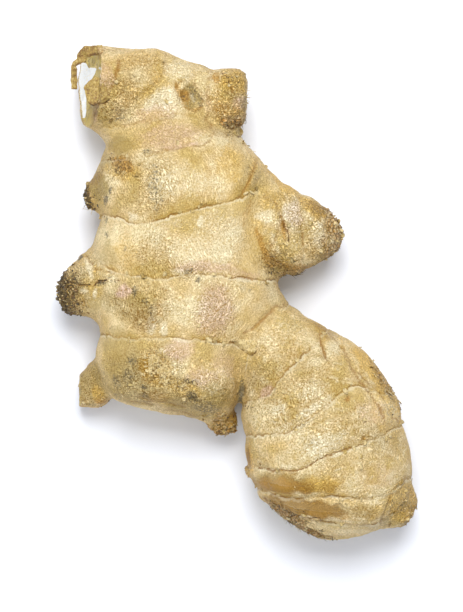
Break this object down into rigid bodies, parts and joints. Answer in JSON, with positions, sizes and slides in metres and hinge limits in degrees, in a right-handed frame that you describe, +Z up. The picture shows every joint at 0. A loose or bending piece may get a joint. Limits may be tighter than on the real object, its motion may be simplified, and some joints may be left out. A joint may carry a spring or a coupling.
{
  "type": "ginger root",
  "caption": "Whole hand of fresh ginger lying flat: ringed trunk with a broken crown, a knob, a finger, a big lobe and small crusted buds, grown as one body.",
  "frame": {"origin": "on the table, under the middle of the hand's bounding box", "axes": "+Z up from the table, +Y from the big lobe to the broken crown, +X towards the side of the finger"},
  "size_m": [0.0903, 0.1239, 0.0344],
  "materials": {
    "ginger_skin": "dry papery skin, semi-matt"
  },
  "bodies": {
    "root": {"ginger_root": "ginger_skin"}
  },
  "joints": []
}
